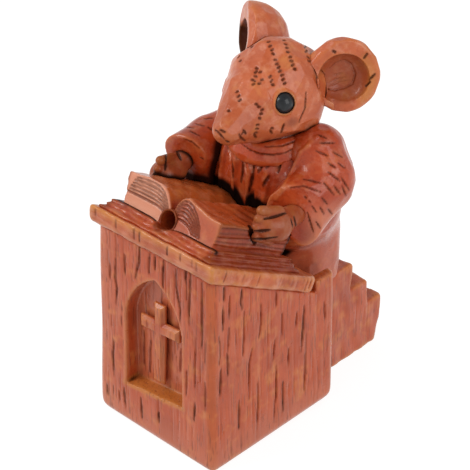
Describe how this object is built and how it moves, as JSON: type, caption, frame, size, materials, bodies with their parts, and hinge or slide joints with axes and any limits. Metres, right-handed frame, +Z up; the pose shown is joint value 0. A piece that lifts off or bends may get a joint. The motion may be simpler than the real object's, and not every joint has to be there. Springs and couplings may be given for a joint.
{
  "type": "mouse figurine",
  "caption": "Resin ornament of a robed mouse reading an open book at a pulpit with an arched niche, a plain cross and steps behind, finished like stained carved wood.",
  "frame": {"origin": "middle of the pulpit's foot, on the surface that it stands on", "axes": "+Z up, the front of the pulpit and the mouse's face towards -Y, the mouse's own left towards +X"},
  "size_m": [0.0502, 0.081, 0.1063],
  "materials": {
    "stained_resin_pulpit": "cast polyresin, wood-brown stain with dark wash, gloss lacquer",
    "stained_resin_desk": "cast polyresin, amber stain with dark wash, gloss lacquer",
    "stained_resin_book": "cast polyresin, red-brown stain with dark wash, gloss lacquer",
    "stained_resin_robe": "cast polyresin, red-brown stain with dark wash, gloss lacquer",
    "stained_resin_fur": "cast polyresin, orange-brown stain with dark wash, gloss lacquer",
    "eye_lacquer": "charcoal paint under gloss lacquer"
  },
  "bodies": {
    "root": {"pulpit_case": "stained_resin_pulpit", "niche_cross": "stained_resin_pulpit", "stair_block": "stained_resin_pulpit", "desk_board": "stained_resin_desk", "book_cover": "stained_resin_book", "left_page_block": "stained_resin_book", "right_page_block": "stained_resin_book", "robe": "stained_resin_robe", "collar": "stained_resin_robe", "left_sleeve": "stained_resin_robe", "right_sleeve": "stained_resin_robe", "left_paw": "stained_resin_fur", "right_paw": "stained_resin_fur", "head": "stained_resin_fur", "left_ear": "stained_resin_fur", "right_ear": "stained_resin_fur", "left_eye": "eye_lacquer", "right_eye": "eye_lacquer"}
  },
  "joints": []
}
